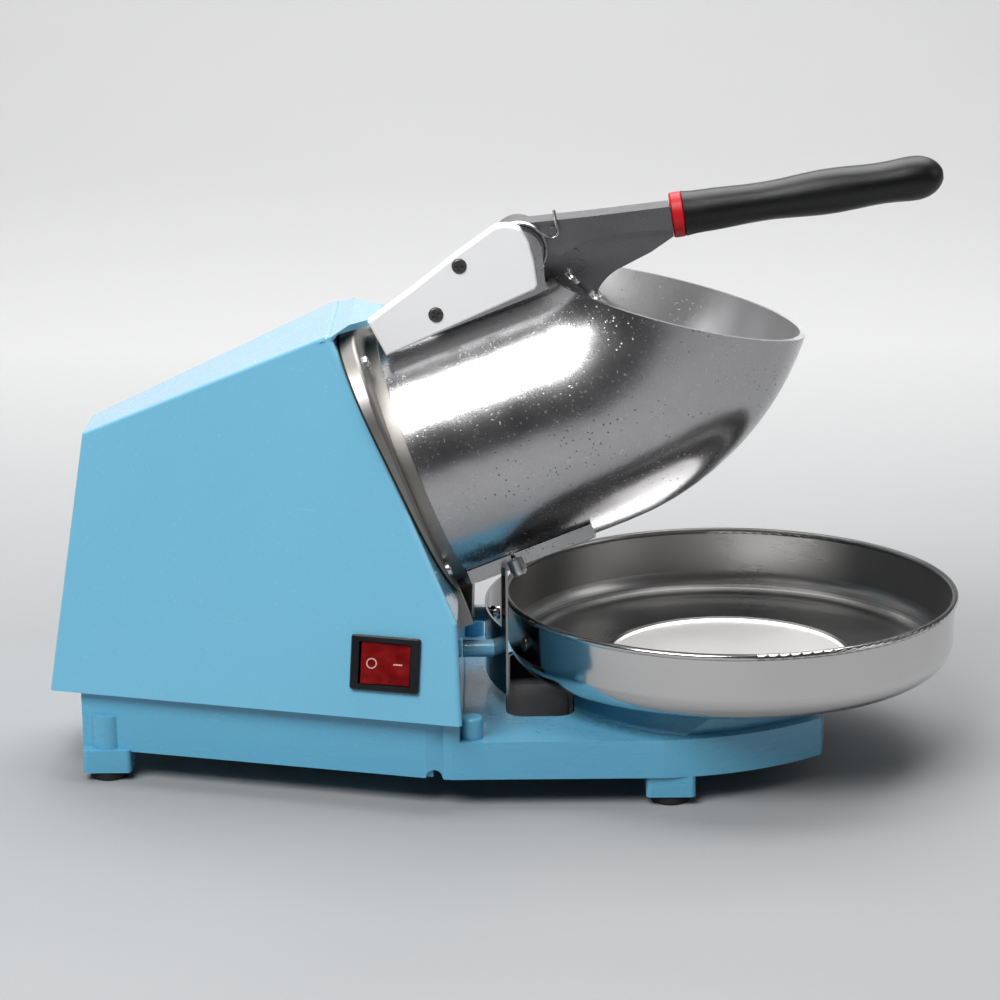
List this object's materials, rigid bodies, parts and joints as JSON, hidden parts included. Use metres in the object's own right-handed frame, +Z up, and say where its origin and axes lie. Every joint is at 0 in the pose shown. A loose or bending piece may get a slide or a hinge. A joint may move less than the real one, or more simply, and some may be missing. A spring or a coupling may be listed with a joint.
{
  "type": "shaved ice machine",
  "caption": "Electric table-top ice shaver with a slanted cast hopper, a hinged press lever, a rocker switch and a loose round catch pan.",
  "frame": {"origin": "middle of the machine's outline, on the surface its rubber feet stand on", "axes": "+X towards the pan (front), +Z up, -Y the side with the mains switch"},
  "size_m": [0.455, 0.23, 0.3021],
  "materials": {
    "base_plastic": "gloss",
    "housing_plastic": "gloss",
    "zinc_steel": "satin",
    "black_rubber": "matte",
    "dark_plastic": "matte",
    "black_plastic": "satin",
    "grey_casting": "satin cast",
    "bright_screw": "polished",
    "polished_aluminium": "polished",
    "mirror_steel": "mirror",
    "white_plastic": "matte",
    "dark_screw": "satin",
    "copper": "satin",
    "red_plastic": "satin",
    "motor_paint": "satin",
    "motor_casting": "cast",
    "ferrite": "matte",
    "bearing_steel": "ground",
    "brass": "satin",
    "carbon": "matte",
    "red_rocker": "gloss",
    "mark_paint": "matte",
    "core_steel": "satin",
    "blade_steel": "ground",
    "cast_lever": "satin cast",
    "red_collar": "satin",
    "black_grip": "satin",
    "spring_wire": "satin",
    "pan_steel": "mirror outside, satin inside"
  },
  "bodies": {
    "body": {"base_moulding": "base_plastic", "bottom_cover": "base_plastic", "bottom_cover_screws": "zinc_steel", "rubber_feet": "black_rubber", "foot_screws": "zinc_steel", "drip_well": "dark_plastic", "cable_gland": "black_plastic", "housing_shell": "housing_plastic", "blade_housing": "grey_casting", "flange_gasket": "black_rubber", "flange_screws": "bright_screw", "hopper": "polished_aluminium", "chute_channel": "polished_aluminium", "chute_screws": "bright_screw", "splash_guard": "mirror_steel", "guard_screws": "bright_screw", "guard_spacers": "housing_plastic", "switch_cover": "white_plastic", "cover_screws": "dark_screw", "microswitch": "black_plastic", "microswitch_terminals": "copper", "motor_can": "motor_paint", "motor_front_cap": "motor_casting", "motor_rear_cap": "motor_casting", "motor_magnets": "ferrite", "motor_bolts": "zinc_steel", "front_bearing": "bearing_steel", "rear_bearing": "bearing_steel", "shaft_seal": "black_rubber", "brush_holders": "brass", "brushes": "carbon", "rectifier": "black_plastic", "terminal_block": "dark_plastic", "rocker_frame": "black_plastic", "rocker_terminals": "copper"},
    "lever": {"lever_arm": "cast_lever", "hinge_pin": "bearing_steel", "pusher": "cast_lever", "pusher_screws": "bright_screw", "grip_collar": "red_collar", "grip": "black_grip", "return_spring": "spring_wire"},
    "rotor": {"motor_shaft": "bearing_steel", "armature": "core_steel", "windings": "copper", "commutator": "copper", "cooling_fan": "black_plastic", "blade_disc": "grey_casting", "drive_fins": "polished_aluminium", "blades": "blade_steel", "blade_screws": "bright_screw", "hub_nut": "bright_screw"},
    "rocker": {"rocker_button": "red_rocker", "rocker_marks": "mark_paint"},
    "plunger": {"microswitch_plunger": "red_plastic"},
    "pan": {"pan": "pan_steel"}
  },
  "joints": [
    {"name": "lever_hinge", "type": "hinge", "parent": "body", "child": "lever", "pos_m": [0.0068, 0, 0.25964], "axis": [0, -1, 0], "range_deg": [-18, 75], "stiffness_Nm_per_rad": 0.15, "springref_deg": 63.03},
    {"name": "rotor_spin", "type": "hinge", "parent": "body", "child": "rotor", "pos_m": [-0.03935, 0, 0.1531], "axis": [0.9317, 0, 0.3633], "continuous": true},
    {"name": "rocker_tilt", "type": "hinge", "parent": "body", "child": "rocker", "pos_m": [-0.05776, -0.08161, 0.07113], "axis": [-0.0553, -0.1846, -0.9813], "range_deg": [0, 14]},
    {"name": "plunger_slide", "type": "slide", "parent": "body", "child": "plunger", "axis": [-1, 0, 0], "range_m": [0, 0.0012], "stiffness_N_per_m": 200},
    {"name": "pan_slide", "type": "slide", "parent": "body", "child": "pan", "axis": [1, 0, 0], "range_m": [0, 0.15]}
  ]
}
